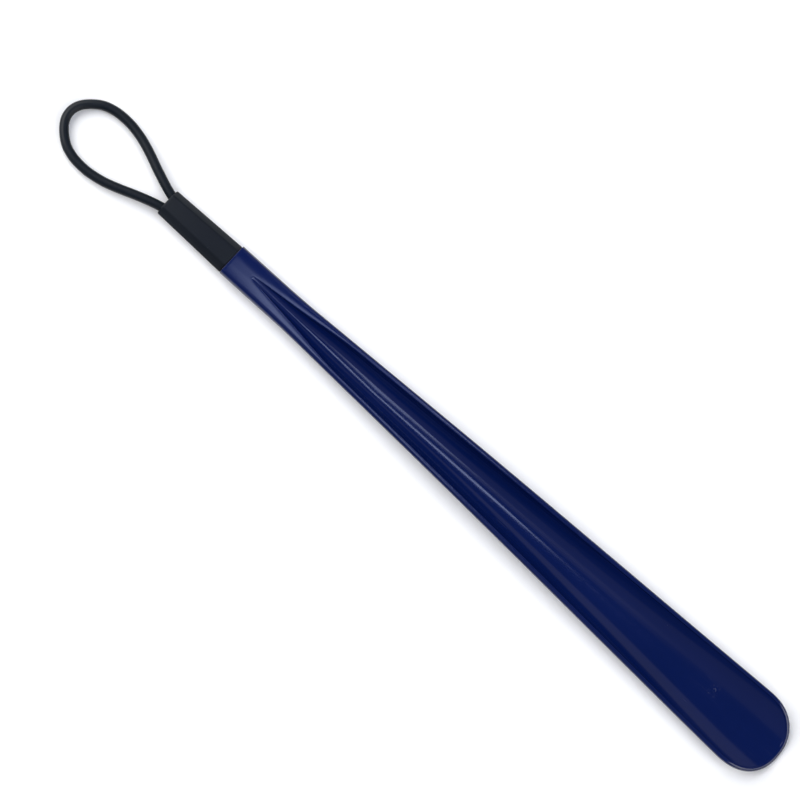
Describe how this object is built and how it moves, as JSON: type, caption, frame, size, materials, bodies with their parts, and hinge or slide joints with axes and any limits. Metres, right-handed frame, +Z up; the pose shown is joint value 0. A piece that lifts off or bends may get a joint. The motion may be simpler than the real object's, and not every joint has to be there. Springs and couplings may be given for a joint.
{
  "type": "long-handled shoehorn",
  "caption": "Long plastic shoehorn with a narrow handle bar that opens into a gutter and a rounded spoon tip, a sleeve cap and a hanging cord loop.",
  "frame": {"origin": "on the surface the blade lies on, under the middle of the cap and blade together, the cord left out", "axes": "+X from the hanging loop towards the spoon tip, +Y to the left of that seen from above, +Z up out of the hollow side"},
  "size_m": [0.4902, 0.0432, 0.013],
  "materials": {
    "blade_plastic": "smooth gloss, moulded, deep navy blue",
    "cap_plastic": "black satin with a fine moulded grain",
    "cord": "smooth black satin round cord",
    "crimp_metal": "plain pressed metal"
  },
  "bodies": {
    "handle": {"blade": "blade_plastic", "end_cap": "cap_plastic", "cord_crimp": "crimp_metal", "loop_tail_left": "cord", "loop_tail_right": "cord"},
    "loop": {"hanging_loop": "cord"}
  },
  "joints": [
    {"name": "loop_swing", "type": "hinge", "parent": "handle", "child": "loop", "pos_m": [-0.218, 0, 0.005], "axis": [0, 1, 0], "range_deg": [-60, 60], "stiffness_Nm_per_rad": 0.03}
  ]
}
